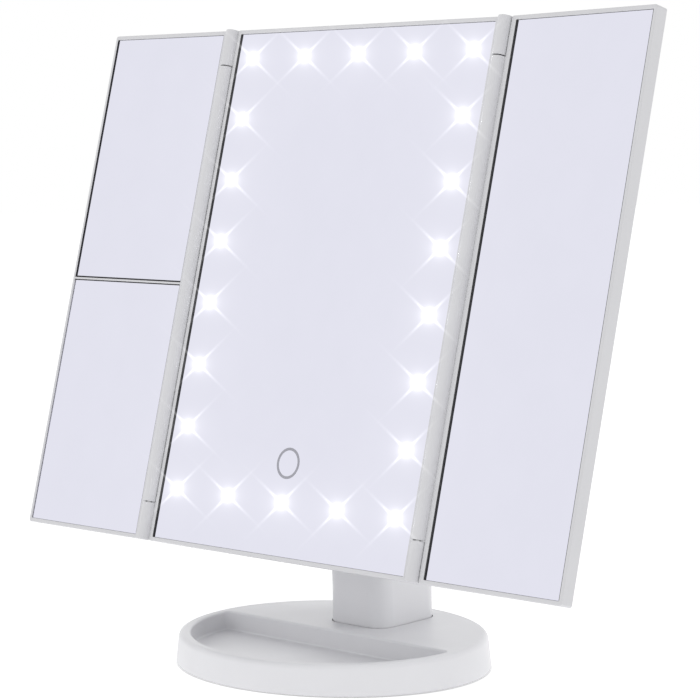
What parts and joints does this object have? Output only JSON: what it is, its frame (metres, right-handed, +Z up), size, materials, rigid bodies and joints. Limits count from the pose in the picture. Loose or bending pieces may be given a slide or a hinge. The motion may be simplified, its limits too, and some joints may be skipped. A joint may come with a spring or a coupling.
{
  "type": "lighted vanity mirror",
  "caption": "Tri-fold table mirror with a lamp-lit centre, two folding side wings, a tilting neck and an oval tray base.",
  "frame": {"origin": "middle of the oval base's underside, on the surface that it stands on", "axes": "+Z up, the mirror faces -Y and +X is the viewer's right"},
  "size_m": [0.334, 0.128, 0.2843],
  "materials": {
    "white_abs": "moulded white ABS, satin gloss",
    "mirror_glass": "silvered float glass, cool lavender cast",
    "gasket_foam": "black adhesive foam strip",
    "screw_steel": "zinc plated",
    "hinge_steel": "nickel plated",
    "weight_steel": "oiled mild steel",
    "eva_pad": "fine-textured EVA foam",
    "nylon_washer": "natural nylon",
    "lamp_white": "white lamp blocks and solder mask, lit",
    "circuit_board": "green solder mask",
    "socket_steel": "stamped and plated",
    "switch_black": "moulded black nylon",
    "contact_plate": "nickel plated spring steel"
  },
  "bodies": {
    "base": {"base_tray": "white_abs", "base_plate": "white_abs", "base_weight": "weight_steel", "non_slip_pad": "eva_pad", "base_screw_1": "screw_steel", "base_screw_2": "screw_steel", "base_screw_3": "screw_steel", "base_screw_4": "screw_steel", "neck_shell": "white_abs", "neck_rear_cover": "white_abs", "neck_screw_1": "screw_steel", "neck_screw_2": "screw_steel"},
    "head": {"hinge_bracket": "white_abs", "bolt_cap_left": "white_abs", "bolt_cap_right": "white_abs", "centre_frame": "white_abs", "centre_back_cover": "white_abs", "centre_mirror": "mirror_glass", "centre_gasket": "gasket_foam", "bracket_screw_1": "screw_steel", "bracket_screw_2": "screw_steel", "bracket_screw_3": "screw_steel", "bracket_screw_4": "screw_steel", "cover_screw_1": "screw_steel", "cover_screw_2": "screw_steel", "cover_screw_3": "screw_steel", "cover_screw_4": "screw_steel", "cover_screw_5": "screw_steel", "cover_screw_6": "screw_steel", "tilt_bolt": "hinge_steel", "tilt_nut": "hinge_steel", "left_hinge_pin_top": "hinge_steel", "left_hinge_pin_bottom": "hinge_steel", "right_hinge_pin_top": "hinge_steel", "right_hinge_pin_bottom": "hinge_steel", "friction_washer_left": "nylon_washer", "friction_washer_right": "nylon_washer", "lamp_strip_top": "lamp_white", "lamp_strip_bottom": "lamp_white", "lamp_strip_left": "lamp_white", "lamp_strip_right": "lamp_white", "touch_sensor": "circuit_board", "control_board": "circuit_board", "charging_socket": "socket_steel", "switch_body": "switch_black", "battery_contact_upper": "contact_plate", "battery_contact_lower": "contact_plate"},
    "left_wing": {"left_wing_frame": "white_abs", "left_wing_back": "white_abs", "left_upper_mirror": "mirror_glass", "left_lower_mirror": "mirror_glass", "left_upper_gasket": "gasket_foam", "left_lower_gasket": "gasket_foam"},
    "right_wing": {"right_wing_frame": "white_abs", "right_wing_back": "white_abs", "right_mirror": "mirror_glass", "right_gasket": "gasket_foam"},
    "power_switch": {"power_slider": "switch_black"},
    "battery_lid": {"battery_cover": "white_abs"}
  },
  "joints": [
    {"name": "head_tilt", "type": "hinge", "parent": "base", "child": "head", "pos_m": [0, 0.017, 0.1], "axis": [-1, 0, 0], "range_deg": [-30, 75]},
    {"name": "left_wing_fold", "type": "hinge", "parent": "head", "child": "left_wing", "pos_m": [-0.0838, -0.00613, 0.16728], "axis": [0, 0.2588, 0.9659], "range_deg": [-0.6, 179.4]},
    {"name": "right_wing_fold", "type": "hinge", "parent": "head", "child": "right_wing", "pos_m": [0.0838, -0.00613, 0.16728], "axis": [0, -0.2588, -0.9659], "range_deg": [-3.5, 176.5]},
    {"name": "power_switch_slide", "type": "slide", "parent": "head", "child": "power_switch", "axis": [-1, 0, 0], "range_m": [0, 0.0025]},
    {"name": "battery_lid_lift", "type": "slide", "parent": "head", "child": "battery_lid", "axis": [0, 0.9659, -0.2588], "range_m": [0, 0.03]}
  ]
}
